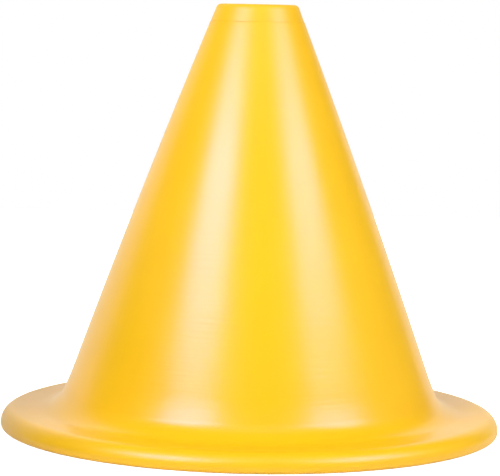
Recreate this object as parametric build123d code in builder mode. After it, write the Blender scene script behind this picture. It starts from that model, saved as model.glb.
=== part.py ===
from build123d import *
import math
import os

# Sports marker cone: a thin moulded shell with a wide brim, and a collar snapped into its tip.
# Millimetres, +Z up, origin on the ground at the middle of the brim.
# Both pieces are turned round the Z axis from a half-section in the XZ plane.

# Driving dimensions of the shell
overall_height = 170.0
foot_diameter = 159.2  # the outer wall carried down to the ground
wall_bow = 0.9  # how far the wall swells outward, half way up
wall_thickness = 2.2  # the same all the way from the neck to the rim
brim_width = 20.4  # from the foot of the wall to the edge of the rim
skirt_height = 19.6  # where the wall starts to flare out
skirt_bend = 3.7  # degrees that the flared skirt leans further than the wall
flare_round = 100.0  # hollow curve between the wall and the skirt
foot_fillet = 11.5  # hollow curve between the skirt and the brim
rim_round = 5.7  # upper edge of the rim
rim_flat = 0.7  # upright band between the rim's two rounds
heel_round = 1.3  # lower edge of the rim, outside
lip_edge_chamfer = 0.3  # lower edge of the rim, inside

# Driving dimensions of the tip
pole_diameter = 25.0  # the pole that the tip takes
pole_clearance = 0.5  # gap round the pole
collar_height = 6.9  # the part of the collar that shows
collar_inset = 0.12  # step at the seam
tip_wall = 3.0  # the collar's wall at its top
tip_round = 2.4  # upper edge of the collar, outside
mouth_chamfer = 0.8  # both ends of the socket
spigot_wall = 3.2  # the collar's wall inside the neck
collar_fit_gap = 0.1  # gap between the spigot and the neck
neck_wall = 2.45  # the shell's wall at the seam
neck_length = 4.5
seam_chamfer = 0.15  # both edges that meet at the seam
snap_overlap = 0.4  # how far the snap bead reaches under the neck
snap_gap = 0.1  # play between the bead and the neck
snap_land = 0.6  # upright band on the bead
lead_in_length = 1.4  # taper at the spigot's end
lead_in_depth = 0.9

# Heights and radii that follow from them
foot_radius = foot_diameter / 2
brim_radius = foot_radius + brim_width
brim_top = heel_round + rim_flat + rim_round
brim_underside = brim_top - wall_thickness
lip_radius = brim_radius - wall_thickness
seam_height = overall_height - collar_height
neck_bottom = seam_height - neck_length
socket_radius = pole_diameter / 2 + pole_clearance
spigot_radius = socket_radius + spigot_wall
neck_radius = spigot_radius + collar_fit_gap
seam_radius = neck_radius + neck_wall
tip_radius = socket_radius + tip_wall
snap_radius = neck_radius + snap_overlap
snap_top = neck_bottom - snap_gap
snap_shoulder = snap_top - (snap_radius - spigot_radius)
spigot_bottom = snap_shoulder - snap_land - lead_in_length
wall_lean = math.atan2(foot_radius - seam_radius, seam_height)
wall_inset = Vector(-math.cos(wall_lean), -math.sin(wall_lean)) * wall_thickness
skirt_lean = wall_lean + math.radians(skirt_bend)
skirt_rise = Vector(-math.tan(skirt_lean), 1) * skirt_height
skirt_inset = Vector(-math.cos(skirt_lean), -math.sin(skirt_lean)) * wall_thickness


def corner(section, radius, height):
    """The corner of a half-section that lies nearest to a radius and a height."""
    return section.vertices().sort_by_distance((radius, height))[0]


def close_to_axis(edge):
    """Closes the outline between an edge and the Z axis, level with the edge's two ends."""
    Polyline(edge @ 1, (0, (edge @ 1).Y), (0, (edge @ 0).Y), edge @ 0)


def skirt_foot(start, height):
    """The radius at which a skirt line from a starting point reaches down to a height."""
    return start.X + (start.Y - height) * math.tan(skirt_lean)


# Shell: the solid cone, skirt and brim, less the hollow inside them, plus the ring that makes the neck
with BuildPart() as cone_shell:
    with BuildSketch(Plane.XZ) as shell_section:
        with BuildLine():
            outer_wall = SagittaArc((foot_radius, 0), (seam_radius, seam_height), -wall_bow)
            close_to_axis(outer_wall)
        make_face()
        with BuildLine():
            outer_bend = outer_wall @ (skirt_height / seam_height)
            outer_skirt = Line(outer_bend - skirt_rise, outer_bend + skirt_rise)
            close_to_axis(outer_skirt)
        make_face()
        Rectangle(brim_radius, brim_top, align=(Align.MIN, Align.MIN))
        with BuildLine():
            inner_wall = SagittaArc(outer_wall @ 0 + wall_inset, outer_wall @ 1 + wall_inset, -wall_bow)
            close_to_axis(inner_wall)
        make_face(mode=Mode.SUBTRACT)
        with BuildLine():
            inner_bend = outer_bend + skirt_inset
            inner_skirt = Line(inner_bend - skirt_rise, inner_bend + skirt_rise)
            close_to_axis(inner_skirt)
        make_face(mode=Mode.SUBTRACT)
        Rectangle(lip_radius, brim_underside, align=(Align.MIN, Align.MIN), mode=Mode.SUBTRACT)
        Rectangle(neck_radius, seam_height, align=(Align.MIN, Align.MIN), mode=Mode.SUBTRACT)
        with Locations((neck_radius, neck_bottom)):
            Rectangle(neck_wall, neck_length, align=(Align.MIN, Align.MIN))
        fillet(corner(shell_section, skirt_foot(outer_bend, brim_top), brim_top), foot_fillet)
        inner_foot = skirt_foot(inner_bend, brim_underside)
        fillet(corner(shell_section, inner_foot, brim_underside), foot_fillet + wall_thickness)
        fillet(corner(shell_section, outer_bend.X, outer_bend.Y), flare_round)
        fillet(corner(shell_section, inner_bend.X, inner_bend.Y), flare_round + wall_thickness)
        fillet(corner(shell_section, brim_radius, brim_top), rim_round)
        fillet(corner(shell_section, lip_radius, brim_underside), rim_round - wall_thickness)
        fillet(corner(shell_section, brim_radius, 0), heel_round)
        chamfer(corner(shell_section, lip_radius, 0), lip_edge_chamfer)
        chamfer(corner(shell_section, seam_radius, seam_height), seam_chamfer)
    revolve(axis=Axis.Z)

# Collar: a tapered ring that sits on the neck, with a spigot that snaps in under it
with BuildPart() as tip_collar:
    with BuildSketch(Plane.XZ) as collar_section:
        with BuildLine():
            Polyline(
                (seam_radius - collar_inset, seam_height),
                (tip_radius, overall_height),
                (socket_radius, overall_height),
                (socket_radius, spigot_bottom),
                (snap_radius - lead_in_depth, spigot_bottom),
                (snap_radius, spigot_bottom + lead_in_length),
                (snap_radius, snap_shoulder),
                (spigot_radius, snap_top),
                (spigot_radius, seam_height),
                close=True,
            )
        make_face()
        chamfer(corner(collar_section, seam_radius - collar_inset, seam_height), seam_chamfer)
        fillet(corner(collar_section, tip_radius, overall_height), tip_round)
        chamfer(corner(collar_section, socket_radius, overall_height), mouth_chamfer)
        chamfer(corner(collar_section, socket_radius, spigot_bottom), mouth_chamfer)
    revolve(axis=Axis.Z)

os.makedirs("parts", exist_ok=True)
cone_shell.part.label = "cone_shell"
export_step(cone_shell.part, "parts/cone_shell.step")
tip_collar.part.label = "tip_collar"
export_step(tip_collar.part, "parts/tip_collar.step")
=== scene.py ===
"""Studio scene of a yellow sports marker cone: the moulded shell, the collar in its tip, lights and camera.

Sizes of the object are in millimetres, as in its drawing, and turn to metres where a mesh is made.
The frame has +Z up and its origin on the ground at the middle of the brim.
"""
import logging
import math
from collections.abc import Sequence
from dataclasses import dataclass, field
from enum import Enum
from typing import Any

import bpy
import numpy as np
from mathutils import Matrix, Vector


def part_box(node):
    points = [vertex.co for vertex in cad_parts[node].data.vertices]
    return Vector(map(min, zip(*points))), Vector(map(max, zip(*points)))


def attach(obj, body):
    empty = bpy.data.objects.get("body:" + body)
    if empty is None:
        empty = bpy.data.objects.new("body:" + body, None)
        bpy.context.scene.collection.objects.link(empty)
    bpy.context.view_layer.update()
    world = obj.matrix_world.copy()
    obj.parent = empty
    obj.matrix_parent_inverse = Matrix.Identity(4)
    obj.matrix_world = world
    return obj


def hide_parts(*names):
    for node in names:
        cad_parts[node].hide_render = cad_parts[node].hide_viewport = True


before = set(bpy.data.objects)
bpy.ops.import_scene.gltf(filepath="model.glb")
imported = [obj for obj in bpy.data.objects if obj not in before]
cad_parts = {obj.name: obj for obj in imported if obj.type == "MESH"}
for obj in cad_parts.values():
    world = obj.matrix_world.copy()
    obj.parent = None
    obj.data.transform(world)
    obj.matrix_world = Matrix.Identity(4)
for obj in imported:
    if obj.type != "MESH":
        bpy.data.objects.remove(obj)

logging.basicConfig(level=logging.INFO, format="%(message)s")
log = logging.getLogger("marker_cone")

MM = 0.001
PHOTO_WIDTH = 500
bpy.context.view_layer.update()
WHITE = (1.0, 1.0, 1.0, 1.0)
SHARP_EDGE = math.radians(35)


class Slot(Enum):
    """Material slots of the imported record."""

    SHELL = "shell_plastic"
    COLLAR = "collar_plastic"


class Side(Enum):
    """Which side of the camera a softbox stands on, as a sign along X."""

    LEFT = -1
    RIGHT = 1


class Outline(Enum):
    """Outline of a softbox's front, by Blender's name for it."""

    OBLONG = "RECTANGLE"
    OVAL = "ELLIPSE"

    @property
    def fill(self) -> float:
        """The share of breadth times height that the outline takes up."""
        return math.pi / 4 if self is Outline.OVAL else 1.0


def linear(hex_colour: str) -> tuple[float, float, float, float]:
    """Turns an sRGB hex colour into linear RGBA.

    Args:
        hex_colour: six hex digits after a hash sign.

    Returns:
        Red, green and blue in linear light, and an alpha of one.
    """
    coded = np.array([int(hex_colour[i : i + 2], 16) for i in (1, 3, 5)]) / 255
    light = np.where(coded <= 0.04045, coded / 12.92, ((coded + 0.055) / 1.055) ** 2.4)
    return (*light.tolist(), 1.0)


def add_node(tree: bpy.types.NodeTree, kind: str, inputs: dict[Any, Any], **settings: Any) -> bpy.types.Node:
    """Adds one node, sets its properties and fills its inputs.

    Args:
        tree: the node tree that gets the node.
        kind: the node's type name.
        inputs: value, or output socket to link, for each input by name or number.
        settings: properties of the node itself.

    Returns:
        The new node.
    """
    node = tree.nodes.new(kind)
    for name, value in settings.items():
        setattr(node, name, value)
    for key, value in inputs.items():
        if isinstance(value, bpy.types.NodeSocket):
            tree.links.new(value, node.inputs[key])
        else:
            node.inputs[key].default_value = value
    return node


def emptied(owner: bpy.types.Material | bpy.types.World) -> bpy.types.NodeTree:
    """Gives a material or a world a node tree with nothing in it.

    Args:
        owner: the material or world.

    Returns:
        Its node tree.
    """
    owner.use_nodes = True
    owner.node_tree.nodes.clear()
    return owner.node_tree


def stage_card(
    name: str, corners: Sequence[Sequence[float]], material: bpy.types.Material
) -> bpy.types.Object:
    """Makes one flat card that belongs to the studio, not to the cone.

    Args:
        name: name of the new object.
        corners: its four corners in metres, in order.
        material: what it is made of.

    Returns:
        The new object, linked to the scene.
    """
    mesh = bpy.data.meshes.new(name)
    mesh.from_pydata(corners, [], [(0, 1, 2, 3)])
    mesh.materials.append(material)
    card = bpy.data.objects.new(name, mesh)
    bpy.context.scene.collection.objects.link(card)
    return card


def line(start: Sequence[float], end: Sequence[float], count: int) -> np.ndarray:
    """A straight run of a half-section: start plus a growing share of the way to end.

    Args:
        start: radius and height of the first point.
        end: radius and height that the run goes to, left out so that the next run can start there.
        count: number of points.

    Returns:
        Points as rows of radius and height.
    """
    share = np.linspace(0, 1, count, endpoint=False)[:, None]
    return np.array(start) + share * (np.array(end) - np.array(start))


def direction(angle: float) -> np.ndarray:
    """The unit vector, in radius and height, at an angle in radians from outward towards up."""
    return np.array([math.cos(angle), math.sin(angle)])


def arc(centre: Sequence[float], radius: float, first: float, last: float, count: int) -> np.ndarray:
    """A round run of a half-section: centre plus radius times the cosine and sine of a growing angle.

    Args:
        centre: radius and height of the arc's centre.
        radius: the arc's own radius.
        first: angle of the first point in radians, from outward towards up.
        last: angle that the run goes to, left out so that the next run can start there.
        count: number of points.

    Returns:
        Points as rows of radius and height.
    """
    angle = np.linspace(first, last, count, endpoint=False)
    return np.array(centre) + radius * np.stack([np.cos(angle), np.sin(angle)], axis=1)


def turned(name: str, section: np.ndarray, steps: int) -> bpy.types.Object:
    """Turns a closed half-section round the Z axis into a mesh object.

    A point at radius r and height z becomes (r cos a, r sin a, z) for each angle a of one turn. The section
    runs down its outer side, so that the faces point outwards.

    Args:
        name: name of the new object.
        section: rows of radius and height in millimetres, in order round the closed section.
        steps: number of angles in one turn.

    Returns:
        The new object, linked to the scene and smooth shaded.
    """
    angle = np.arange(steps) * (2 * math.pi / steps)
    radius, height = section[:, 0, None], section[:, 1, None]
    grid = np.stack([radius * np.cos(angle), radius * np.sin(angle), height + 0 * angle], axis=-1)
    rows = np.arange(len(section))[:, None]
    next_rows = (rows + 1) % len(section)
    columns = np.arange(steps)
    next_columns = (columns + 1) % steps
    quads = np.stack(
        [
            rows * steps + columns,
            next_rows * steps + columns,
            next_rows * steps + next_columns,
            rows * steps + next_columns,
        ],
        axis=-1,
    )
    mesh = bpy.data.meshes.new(name)
    mesh.from_pydata((grid.reshape(-1, 3) * MM).tolist(), [], quads.reshape(-1, 4).tolist())
    mesh.shade_smooth()
    mesh.set_sharp_from_angle(angle=SHARP_EDGE)
    piece = bpy.data.objects.new(name, mesh)
    bpy.context.scene.collection.objects.link(piece)
    return piece


@dataclass(frozen=True)
class MouldedVinyl:
    """Soft vinyl, coloured all through and moulded in a lathe-turned mould.

    To the eye it is a satin yellow with soft-edged highlights. The mould's turning leaves level streaks too
    fine to feel, which show faintly across the highlights, and the wall is never quite true, so that the
    highlights' edges wander a little. It is duller towards the tip, where hands grip the cone, on the
    tip's upper edge, where stacked cones scrape it, and on the rim, which rubs the ground. Each wear is a
    pair of heights in millimetres, from fresh to worn. The gloss has a tint because the photograph squeezes
    its bright tones, which turns the highlights cream.
    """

    name: str
    colour: str = "#e9b814"
    deep_colour: str = "#e6b211"
    gloss_tint: str = "#ffa4ff"
    ior: float = 1.54
    roughness: float = 0.297
    grip_roughness: float = 0.42
    grip_wear_mm: tuple[float, float] = (110.0, 165.0)
    rim_roughness: float = 0.36
    rim_wear_mm: tuple[float, float] = (7.75, 6.2)
    tip_roughness: float = 0.6
    tip_wear_mm: tuple[float, float] = (167.6, 169.0)
    streak_length_mm: float = 16.0
    streak_width_mm: float = 1.1
    streak_depth_mm: float = 0.03
    streak_roughness: float = 0.06
    waviness_mm: float = 28.0
    wave_depth_mm: float = 0.2

    def noise(
        self, tree: bpy.types.NodeTree, place: bpy.types.NodeSocket, level: float, upright: float
    ) -> bpy.types.NodeSocket:
        """Adds a noise pattern of a real size.

        Args:
            tree: the material's node tree.
            place: the point on the piece, in metres.
            level: size of the pattern along the ground, in millimetres.
            upright: size of the pattern along the axis, in millimetres.

        Returns:
            The output socket with the pattern, about zero to one.
        """
        scale = (1 / (level * MM), 1 / (level * MM), 1 / (upright * MM))
        spread = add_node(tree, "ShaderNodeVectorMath", {0: place, 1: scale}, operation="MULTIPLY").outputs[0]
        settings = {"Vector": spread, "Scale": 1.0, "Detail": 1.5, "Roughness": 0.5}
        return add_node(tree, "ShaderNodeTexNoise", settings).outputs["Fac"]

    def wear(self, tree: bpy.types.NodeTree, height: bpy.types.NodeSocket) -> bpy.types.NodeSocket:
        """Adds the roughness that goes with the height on the cone: the largest that any wear gives there.

        Args:
            tree: the material's node tree.
            height: the height on the piece, in metres.

        Returns:
            The output socket with the roughness, before the streaks.
        """
        half_streak = self.streak_roughness / 2
        unworn = self.roughness - half_streak
        roughest: float | bpy.types.NodeSocket = unworn
        for (fresh, dull), worn in (
            (self.grip_wear_mm, self.grip_roughness),
            (self.rim_wear_mm, self.rim_roughness),
            (self.tip_wear_mm, self.tip_roughness),
        ):
            settings = {
                "Value": height,
                "From Min": fresh * MM,
                "From Max": dull * MM,
                "To Min": unworn,
                "To Max": worn - half_streak,
            }
            patch = add_node(tree, "ShaderNodeMapRange", settings).outputs["Result"]
            larger = add_node(tree, "ShaderNodeMath", {0: patch, 1: roughest}, operation="MAXIMUM")
            roughest = larger.outputs[0]
        return roughest

    def material(self) -> bpy.types.Material:
        """Builds the node material.

        Returns:
            A material that reads the piece's Object coordinates.
        """
        material = bpy.data.materials.new(self.name)
        tree = emptied(material)
        place = add_node(tree, "ShaderNodeTexCoord", {}).outputs["Object"]
        height = add_node(tree, "ShaderNodeSeparateXYZ", {0: place}).outputs["Z"]
        streaks = self.noise(tree, place, self.streak_length_mm, self.streak_width_mm)
        waves = self.noise(tree, place, self.waviness_mm, self.waviness_mm)
        colour = add_node(
            tree,
            "ShaderNodeMix",
            {"Factor": waves, 6: linear(self.colour), 7: linear(self.deep_colour)},
            data_type="RGBA",
        ).outputs[2]
        roughness = add_node(
            tree,
            "ShaderNodeMath",
            {0: streaks, 1: self.streak_roughness, 2: self.wear(tree, height)},
            operation="MULTIPLY_ADD",
        ).outputs[0]
        wavy = add_node(
            tree, "ShaderNodeBump", {"Height": waves, "Strength": 1.0, "Distance": self.wave_depth_mm * MM}
        ).outputs["Normal"]
        streaked = add_node(
            tree,
            "ShaderNodeBump",
            {"Height": streaks, "Normal": wavy, "Strength": 1.0, "Distance": self.streak_depth_mm * MM},
        ).outputs["Normal"]
        surface = add_node(
            tree,
            "ShaderNodeBsdfPrincipled",
            {
                "Base Color": colour,
                "Roughness": roughness,
                "Normal": streaked,
                "IOR": self.ior,
                "Specular Tint": linear(self.gloss_tint),
            },
        )
        add_node(tree, "ShaderNodeOutputMaterial", {"Surface": surface.outputs["BSDF"]})
        return material


@dataclass
class ConeShell:
    """The moulded body: one thin wall from the neck, down the cone, through the brim and over the rim."""

    finish: MouldedVinyl
    seam_height: float
    brim_radius: float
    foot_radius: float = 79.6
    seam_radius: float = 18.75
    wall_bow: float = 0.9
    wall: float = 2.2
    skirt_height: float = 19.6
    skirt_bend: float = 3.7
    flare_round: float = 100.0
    foot_fillet: float = 11.5
    rim_round: float = 5.7
    rim_flat: float = 0.7
    heel_round: float = 1.3
    lip_edge_round: float = 0.3
    neck_radius: float = 16.3
    neck_length: float = 4.5
    seam_round: float = 0.1
    steps: int = 384
    piece: bpy.types.Object = field(init=False)

    def wall_circle(self) -> tuple[np.ndarray, float]:
        """The large circle that the outer wall lies on.

        Its chord runs from the foot to the seam, and its radius is the chord squared over eight times the
        bow, plus half the bow. The centre lies that radius, less the bow, behind the middle of the chord.

        Returns:
            The circle's centre and its radius.
        """
        foot = np.array([self.foot_radius, 0.0])
        seam = np.array([self.seam_radius, self.seam_height])
        chord = seam - foot
        length = np.linalg.norm(chord)
        radius = length**2 / (8 * self.wall_bow) + self.wall_bow / 2
        outward = np.array([chord[1], -chord[0]]) / length
        return (foot + seam) / 2 - outward * (radius - self.wall_bow), radius

    def section(self) -> np.ndarray:
        """The closed half-section, down the outside and back up the inside.

        The skirt is a straight run from a point on the wall down to the brim. The flare rounds the corner
        between wall and skirt: its centre lies its radius outside the skirt, and its radius times the
        tangent of half the bend further down. The fillet's centre lies its own radius outside the skirt
        and above the brim. The inner skin has the same centres and lies one wall thickness deeper.

        Returns:
            Rows of radius and height in millimetres.
        """
        centre, radius = self.wall_circle()
        quarter = math.pi / 2
        brim_top = self.heel_round + self.rim_flat + self.rim_round
        edge_height = self.seam_height - self.seam_round
        seam_angle = math.asin((edge_height - centre[1]) / (radius - self.seam_round))
        edge = centre + (radius - self.seam_round) * direction(seam_angle)

        wall_lean = math.atan2(self.foot_radius - self.seam_radius, self.seam_height)
        lean = wall_lean + math.radians(self.skirt_bend)
        outward, down = direction(lean), direction(lean - quarter)
        bend_angle = math.asin((self.skirt_height - centre[1]) / radius)
        bend = centre + radius * direction(bend_angle)
        flare = bend + self.flare_round * (outward + down * math.tan((lean - bend_angle) / 2))
        meet = math.atan2(flare[1] - centre[1], flare[0] - centre[0])
        fall = bend[1] - brim_top - self.foot_fillet * (1 - math.sin(lean))
        fillet = bend + self.foot_fillet * outward + down * fall / math.cos(lean)
        flare_end, fillet_start = flare - self.flare_round * outward, fillet - self.foot_fillet * outward
        inset = self.wall * outward

        rim = (self.brim_radius - self.rim_round, self.heel_round + self.rim_flat)
        heel = (self.brim_radius - self.heel_round, self.heel_round)
        lip_radius = self.brim_radius - self.wall
        lip_edge = (lip_radius + self.lip_edge_round, self.lip_edge_round)
        under = brim_top - self.wall
        neck_bottom = self.seam_height - self.neck_length
        inner = radius - self.wall
        inner_top = math.asin((neck_bottom - centre[1]) / inner)
        inner_top_radius = (centre + inner * direction(inner_top))[0]
        return np.concatenate(
            [
                arc(centre, radius, seam_angle, meet, 48),
                arc(flare, self.flare_round, meet + math.pi, lean + math.pi, 12),
                line(flare_end, fillet_start, 3),
                arc(fillet, self.foot_fillet, lean + math.pi, 3 * quarter, 26),
                line((fillet[0], brim_top), (rim[0], brim_top), 6),
                arc(rim, self.rim_round, quarter, 0, 22),
                line((self.brim_radius, rim[1]), (self.brim_radius, self.heel_round), 2),
                arc(heel, self.heel_round, 0, -quarter, 8),
                line((heel[0], 0), (lip_edge[0], 0), 2),
                arc(lip_edge, self.lip_edge_round, -quarter, -math.pi, 5),
                line((lip_radius, lip_edge[1]), (lip_radius, rim[1]), 3),
                arc(rim, self.rim_round - self.wall, 0, quarter, 12),
                line((rim[0], under), (fillet[0], under), 4),
                arc(fillet, self.foot_fillet + self.wall, 3 * quarter, lean + math.pi, 18),
                line(fillet_start - inset, flare_end - inset, 3),
                arc(flare, self.flare_round + self.wall, lean + math.pi, meet + math.pi, 8),
                arc(centre, inner, meet, inner_top, 20),
                line((inner_top_radius, neck_bottom), (self.neck_radius, neck_bottom), 3),
                line((self.neck_radius, neck_bottom), (self.neck_radius, self.seam_height), 5),
                line((self.neck_radius, self.seam_height), (edge[0], self.seam_height), 5),
                arc(edge, self.seam_round, quarter, seam_angle, 6),
            ]
        )

    def build(self) -> None:
        """Makes the shell's mesh, which stands for the CAD node."""
        self.piece = turned("moulded_shell", self.section(), self.steps)
        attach(self.piece, "root")
        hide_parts("cone_shell")
        log.info("moulded_shell: %d faces", len(self.piece.data.polygons))

    def dress(self) -> None:
        """Gives the shell its finish."""
        self.piece.data.materials.append(self.finish.material())


@dataclass
class TipCollar:
    """The ring pushed into the neck: a tapered band above the seam, a spigot with a snap bead below it."""

    finish: MouldedVinyl
    seam_height: float
    tip_height: float
    spigot_bottom: float
    seam_radius: float = 18.63
    tip_radius: float = 16.0
    socket_radius: float = 13.0
    spigot_radius: float = 16.2
    snap_radius: float = 16.7
    snap_top: float = 158.5
    snap_land: float = 0.6
    lead_in_length: float = 1.4
    lead_in_depth: float = 0.9
    tip_round: float = 2.4
    mouth_round: float = 0.8
    seam_round: float = 0.1
    steps: int = 384
    piece: bpy.types.Object = field(init=False)

    def section(self) -> np.ndarray:
        """The closed half-section, down the outside, round the spigot and back up the socket.

        Each round is an arc that touches the two straight runs beside it. Where the runs' outward normals
        are a and b, its centre lies the round's radius inside both.

        Returns:
            Rows of radius and height in millimetres.
        """
        lean = math.atan2(self.seam_radius - self.tip_radius, self.tip_height - self.seam_height)
        quarter = math.pi / 2
        top = self.tip_height
        tip_centre = (
            self.tip_radius - self.tip_round * math.tan((quarter - lean) / 2),
            top - self.tip_round,
        )
        seam_centre = (
            self.seam_radius - self.seam_round * math.tan((quarter + lean) / 2),
            self.seam_height + self.seam_round,
        )
        tip_touch = np.array(tip_centre) + self.tip_round * direction(lean)
        seam_touch = np.array(seam_centre) + self.seam_round * direction(lean)
        mouth = (self.socket_radius + self.mouth_round, top - self.mouth_round)
        foot = (self.socket_radius + self.mouth_round, self.spigot_bottom + self.mouth_round)
        shoulder = self.snap_top - (self.snap_radius - self.spigot_radius)
        land_bottom = self.spigot_bottom + self.lead_in_length
        end_radius = self.snap_radius - self.lead_in_depth
        return np.concatenate(
            [
                arc(tip_centre, self.tip_round, quarter, lean, 16),
                line(tip_touch, seam_touch, 20),
                arc(seam_centre, self.seam_round, lean, -quarter, 10),
                line((seam_centre[0], self.seam_height), (self.spigot_radius, self.seam_height), 4),
                line((self.spigot_radius, self.seam_height), (self.spigot_radius, self.snap_top), 4),
                line((self.spigot_radius, self.snap_top), (self.snap_radius, shoulder), 2),
                line((self.snap_radius, shoulder), (self.snap_radius, land_bottom), 2),
                line((self.snap_radius, land_bottom), (end_radius, self.spigot_bottom), 3),
                line((end_radius, self.spigot_bottom), (foot[0], self.spigot_bottom), 3),
                arc(foot, self.mouth_round, -quarter, -math.pi, 8),
                line((self.socket_radius, foot[1]), (self.socket_radius, mouth[1]), 14),
                arc(mouth, self.mouth_round, math.pi, quarter, 8),
                line((mouth[0], top), (tip_centre[0], top), 4),
            ]
        )

    def build(self) -> None:
        """Makes the collar's mesh, which stands for the CAD node."""
        self.piece = turned("snap_collar", self.section(), self.steps)
        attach(self.piece, "root")
        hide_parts("tip_collar")
        log.info("snap_collar: %d faces", len(self.piece.data.polygons))

    def dress(self) -> None:
        """Gives the collar its finish."""
        self.piece.data.materials.append(self.finish.material())


@dataclass(frozen=True)
class Softbox:
    """One large lamp that faces the cone.

    Its angles are as the cone sees them, in degrees, and its distance is in metres. A lamp that isn't
    mirrored lights the cone without showing in its gloss.
    """

    name: str
    side: Side
    azimuth: float
    elevation: float
    breadth: float
    rise: float
    radiance: float
    distance: float
    outline: Outline = Outline.OBLONG
    mirrored: bool = True
    aim: tuple[float, float, float] = (0.0, 0.0, 0.08)

    def build(self) -> None:
        """Places the lamp. Its power is four times its area times the radiance that it shows."""
        turn, lift = math.radians(self.azimuth), math.radians(self.elevation)
        away = Vector(
            (
                self.side.value * math.sin(turn) * math.cos(lift),
                -math.cos(turn) * math.cos(lift),
                math.sin(lift),
            )
        )
        width = 2 * self.distance * math.tan(math.radians(self.breadth) / 2)
        height = 2 * self.distance * math.tan(math.radians(self.rise) / 2)
        lamp = bpy.data.lights.new(self.name, "AREA")
        lamp.shape = self.outline.value
        lamp.size, lamp.size_y = width, height
        lamp.energy = 4 * width * height * self.outline.fill * self.radiance
        holder = bpy.data.objects.new(self.name, lamp)
        holder.visible_glossy = self.mirrored
        holder.location = Vector(self.aim) + away * self.distance
        holder.rotation_mode = "QUATERNION"
        holder.rotation_quaternion = (-away).to_track_quat("-Z", "Y")
        bpy.context.scene.collection.objects.link(holder)
        log.info("%s lamp: radiance %.1f", self.name, self.radiance)


@dataclass(frozen=True)
class Flag:
    """A black card that stands on the left, out of the picture, and keeps light off the foot of the cone."""

    x: float
    y: tuple[float, float]
    height: float
    colour: str = "#161616"

    def build(self) -> None:
        """Stands the card up, unseen by the camera and by reflections."""
        material = bpy.data.materials.new("black_card")
        tree = emptied(material)
        black = add_node(tree, "ShaderNodeBsdfDiffuse", {"Color": linear(self.colour)})
        add_node(tree, "ShaderNodeOutputMaterial", {"Surface": black.outputs[0]})
        (front, back), top = self.y, self.height
        corners = [(self.x, front, 0), (self.x, back, 0), (self.x, back, top), (self.x, front, top)]
        card = stage_card("flag", corners, material)
        card.visible_camera = card.visible_glossy = False


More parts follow.
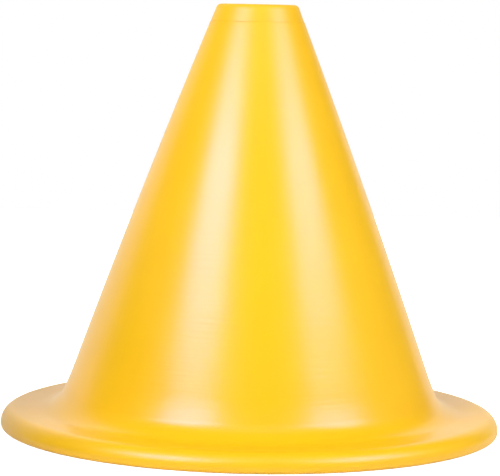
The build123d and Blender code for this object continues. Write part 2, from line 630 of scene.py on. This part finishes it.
@dataclass
class Studio:
    """White table and backdrop, lamps, a black card on the left, and the camera of the photograph.

    The backdrop is turned to the left and its half width is an angle, both in degrees as the cone sees them.
    It fades over a share of the cosine of that angle. The table's glow is dimmer near the cone, a painted
    shadow that ramps from the first distance to the second, in metres from the axis. The camera's distance
    and height are in metres, its angles in degrees, its sensor's width in millimetres and its focal length in
    pixels of the photograph.
    """

    softboxes: tuple[Softbox, ...] = (
        Softbox(
            "key",
            Side.LEFT,
            azimuth=41.8,
            elevation=36.2,
            breadth=33.0,
            rise=24.2,
            radiance=12.0,
            distance=1.2,
            outline=Outline.OVAL,
        ),
        Softbox(
            "second",
            Side.RIGHT,
            azimuth=59.2,
            elevation=36.0,
            breadth=30.0,
            rise=21.0,
            radiance=8.7,
            distance=1.4,
        ),
        Softbox(
            "overhead",
            Side.LEFT,
            azimuth=0.0,
            elevation=58.0,
            breadth=60.0,
            rise=30.0,
            radiance=0.45,
            distance=1.5,
        ),
        *(
            Softbox(
                f"{side.name.lower()}_fill",
                side,
                azimuth=95.0,
                elevation=12.0,
                breadth=60.0,
                rise=26.0,
                radiance=1.05,
                distance=1.0,
                mirrored=False,
            )
            for side in Side
        ),
    )
    flag: Flag = Flag(x=-0.17, y=(-0.3, 0.01), height=0.1)
    backdrop_turn: float = 12.5
    backdrop_half_width: float = 46.5
    backdrop_fade: float = 0.06
    backdrop_radiance: float = 1.1
    front_radiance: float = 0.06
    table_colour: str = "#ededed"
    table_x: tuple[float, float] = (-1.2, 1.2)
    table_y: tuple[float, float] = (-0.7, 1.0)
    # painted shadow on the table: its glow is dimmer from the axis out to these distances, and this much at
    # the cone
    painted_shadow_reach: tuple[float, float] = (0.098, 0.125)
    painted_shadow_glow: float = 0.8
    camera_distance: float = 0.930
    camera_height: float = 0.1663
    camera_pitch: float = 5.515
    camera_pan: float = 0.075
    camera_roll: float = 1.2
    focal_pixels: float = 2325.5
    sensor_width: float = 36.0

    def light_world(self) -> None:
        """Lights the cone from the world.

        To the camera it is white all round. As light, and in reflections, it is a white backdrop behind the
        cone and dim in front of it, with a soft edge between the two.
        """
        world = bpy.data.worlds.new("studio")
        bpy.context.scene.world = world
        tree = emptied(world)
        turn = math.radians(self.backdrop_turn)
        towards = add_node(tree, "ShaderNodeTexCoord", {}).outputs["Generated"]
        facing = add_node(
            tree,
            "ShaderNodeVectorMath",
            {0: towards, 1: (-math.sin(turn), math.cos(turn), 0.0)},
            operation="DOT_PRODUCT",
        ).outputs["Value"]
        edge = math.cos(math.radians(self.backdrop_half_width))
        behind = add_node(
            tree,
            "ShaderNodeMapRange",
            {"Value": facing, "From Min": edge - self.backdrop_fade, "From Max": edge + self.backdrop_fade},
            interpolation_type="SMOOTHSTEP",
        ).outputs["Result"]
        strength = add_node(
            tree,
            "ShaderNodeMath",
            {0: behind, 1: self.backdrop_radiance - self.front_radiance, 2: self.front_radiance},
            operation="MULTIPLY_ADD",
        ).outputs[0]
        path = add_node(tree, "ShaderNodeLightPath", {}).outputs
        mirrored = add_node(
            tree, "ShaderNodeMath", {0: path["Is Glossy Ray"], 1: behind}, operation="MULTIPLY"
        ).outputs[0]
        seen = path["Is Camera Ray"]
        for ray in (path["Is Transmission Ray"], mirrored):
            seen = add_node(tree, "ShaderNodeMath", {0: seen, 1: ray}, operation="MAXIMUM").outputs[0]
        light, white = (
            add_node(tree, "ShaderNodeBackground", {"Color": WHITE, "Strength": level}).outputs[0]
            for level in (strength, 1.0)
        )
        mixed = add_node(tree, "ShaderNodeMixShader", {0: seen, 1: light, 2: white})
        add_node(tree, "ShaderNodeOutputWorld", {"Surface": mixed.outputs[0]})

    def lay_table(self) -> None:
        """Lays a white table top.

        To the camera, and in reflections, it glows as the backdrop does. Near the cone the glow is dimmer, a
        painted shadow: to the camera it lies over the real soft shadow that the card catches, and in
        reflections it is the only shade there.
        """
        material = bpy.data.materials.new("matt_white_card")
        tree = emptied(material)
        card = add_node(tree, "ShaderNodeBsdfDiffuse", {"Color": linear(self.table_colour)}).outputs[0]
        place = add_node(tree, "ShaderNodeTexCoord", {}).outputs["Object"]
        away = add_node(tree, "ShaderNodeVectorMath", {0: place}, operation="LENGTH").outputs["Value"]
        near, far = self.painted_shadow_reach
        # the glow dims towards the cone by distance from the axis: a painted shadow round its foot
        strength = add_node(
            tree,
            "ShaderNodeMapRange",
            {"Value": away, "From Min": near, "From Max": far, "To Min": self.painted_shadow_glow, "To Max": 1.0},
            interpolation_type="SMOOTHSTEP",
        ).outputs["Result"]
        glow = add_node(tree, "ShaderNodeEmission", {"Color": WHITE, "Strength": strength}).outputs[0]
        glowing = add_node(tree, "ShaderNodeAddShader", {0: card, 1: glow}).outputs[0]
        path = add_node(tree, "ShaderNodeLightPath", {}).outputs
        mixed = card  # what lights the cone, under what each other ray sees
        for ray, look in (("Is Glossy Ray", glow), ("Is Transmission Ray", glow), ("Is Camera Ray", glowing)):
            mixed = add_node(tree, "ShaderNodeMixShader", {0: path[ray], 1: mixed, 2: look}).outputs[0]
        add_node(tree, "ShaderNodeOutputMaterial", {"Surface": mixed})
        (left, right), (front, back) = self.table_x, self.table_y
        corners = [(left, front, 0), (right, front, 0), (right, back, 0), (left, back, 0)]
        stage_card("table", corners, material)

    def place_camera(self) -> None:
        """Puts the camera in front of the cone, looking slightly down and turned about its own axis."""
        lens = bpy.data.cameras.new("camera")
        lens.sensor_fit = "HORIZONTAL"
        lens.sensor_width = self.sensor_width
        lens.lens = self.sensor_width * self.focal_pixels / PHOTO_WIDTH
        camera = bpy.data.objects.new("camera", lens)
        pan = Matrix.Rotation(math.radians(self.camera_pan), 4, "Z")
        pitch = Matrix.Rotation(math.radians(90 - self.camera_pitch), 4, "X")
        roll = Matrix.Rotation(math.radians(self.camera_roll), 4, "Z")
        place = Matrix.Translation((0, -self.camera_distance, self.camera_height))
        camera.matrix_world = place @ pan @ pitch @ roll
        bpy.context.scene.collection.objects.link(camera)
        bpy.context.scene.camera = camera

    def build(self) -> None:
        """Builds the whole studio."""
        bpy.context.scene.view_settings.view_transform = "Standard"
        self.light_world()
        self.lay_table()
        for piece in (self.flag, *self.softboxes):
            piece.build()
        self.place_camera()


def main() -> None:
    """Builds the cone's pieces and the studio, in order."""
    _, shell_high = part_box("cone_shell")
    collar_low, collar_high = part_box("tip_collar")
    seam_height = shell_high.z / MM
    shell = ConeShell(
        finish=MouldedVinyl("moulded_vinyl_shell"),
        seam_height=seam_height,
        brim_radius=shell_high.x / MM,
    )
    collar = TipCollar(
        finish=MouldedVinyl("moulded_vinyl_collar"),
        seam_height=seam_height,
        tip_height=collar_high.z / MM,
        spigot_bottom=collar_low.z / MM,
    )
    for piece in (shell, collar):
        piece.build()
        piece.dress()
    Studio().build()


if __name__ == "__main__":
    main()
